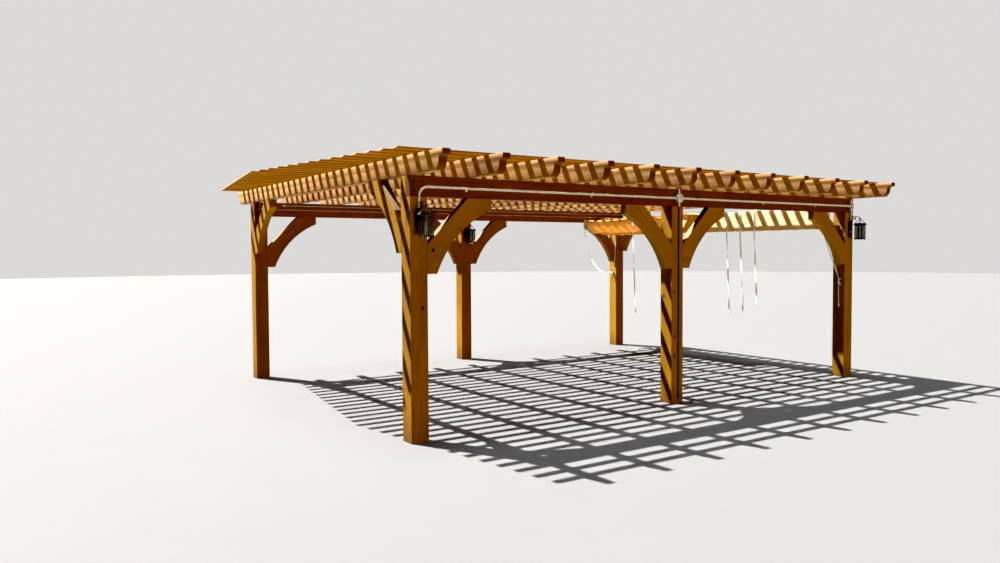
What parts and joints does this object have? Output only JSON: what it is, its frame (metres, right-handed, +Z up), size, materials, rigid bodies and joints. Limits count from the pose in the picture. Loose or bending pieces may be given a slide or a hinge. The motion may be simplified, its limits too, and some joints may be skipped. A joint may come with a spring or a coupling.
{
  "type": "pergola",
  "caption": "Timber garden pergola with arched knee braces, scrolled rafter tails, a pointed slat overhang, black wall lanterns and gathered cream shade cloths.",
  "frame": {"origin": "on the ground under the middle of the whole roof's plan", "axes": "+X along the beams towards the gathered shades, +Y from the front row of posts to the back row, +Z up"},
  "size_m": [8.02, 6.35, 2.812],
  "materials": {
    "black_cable": "matte black sheath",
    "black_lantern_metal": "satin black",
    "galvanised_metal": "dull galvanised",
    "shade_cloth": "woven cream outdoor cloth",
    "stained_timber": "semi-transparent red-brown stain, sawn, weathered",
    "white_cord": "braided white cord",
    "wire_rope": "stranded stainless"
  },
  "bodies": {
    "root": {"beam_back": "stained_timber", "beam_front": "stained_timber", "brace_back_left": "stained_timber", "brace_back_middle_left": "stained_timber", "brace_back_middle_right": "stained_timber", "brace_back_right": "stained_timber", "brace_front_left": "stained_timber", "brace_front_middle_left": "stained_timber", "brace_front_middle_right": "stained_timber", "brace_front_right": "stained_timber", "cleats": "galvanised_metal", "conduit": "galvanised_metal", "guide_wires": "wire_rope", "junction_boxes": "galvanised_metal", "lantern_back_middle": "black_lantern_metal", "lantern_front_left": "black_lantern_metal", "lantern_front_right": "black_lantern_metal", "post_back_left": "stained_timber", "post_back_middle": "stained_timber", "post_back_right": "stained_timber", "post_cable": "black_cable", "post_front_left": "stained_timber", "post_front_middle": "stained_timber", "post_front_right": "stained_timber", "pull_cord_back": "white_cord", "pull_cord_front_1": "white_cord", "pull_cord_front_2": "white_cord", "pull_cord_front_3": "white_cord", "rafter_01": "stained_timber", "rafter_02": "stained_timber", "rafter_03": "stained_timber", "rafter_04": "stained_timber", "rafter_05": "stained_timber", "rafter_06": "stained_timber", "rafter_07": "stained_timber", "rafter_08": "stained_timber", "rafter_09": "stained_timber", "rafter_10": "stained_timber", "rafter_11": "stained_timber", "rafter_12": "stained_timber", "shade_back": "shade_cloth", "shade_front": "shade_cloth", "side_brace_back_left": "stained_timber", "side_brace_back_right": "stained_timber", "side_brace_front_left": "stained_timber", "side_brace_front_right": "stained_timber", "slats_back": "stained_timber", "slats_front": "stained_timber", "slats_middle": "stained_timber", "tie_cord_back_1": "white_cord", "tie_cord_back_2": "white_cord", "tie_cord_front_1": "white_cord", "tie_cord_front_2": "white_cord", "wire_anchors": "galvanised_metal"}
  },
  "joints": []
}
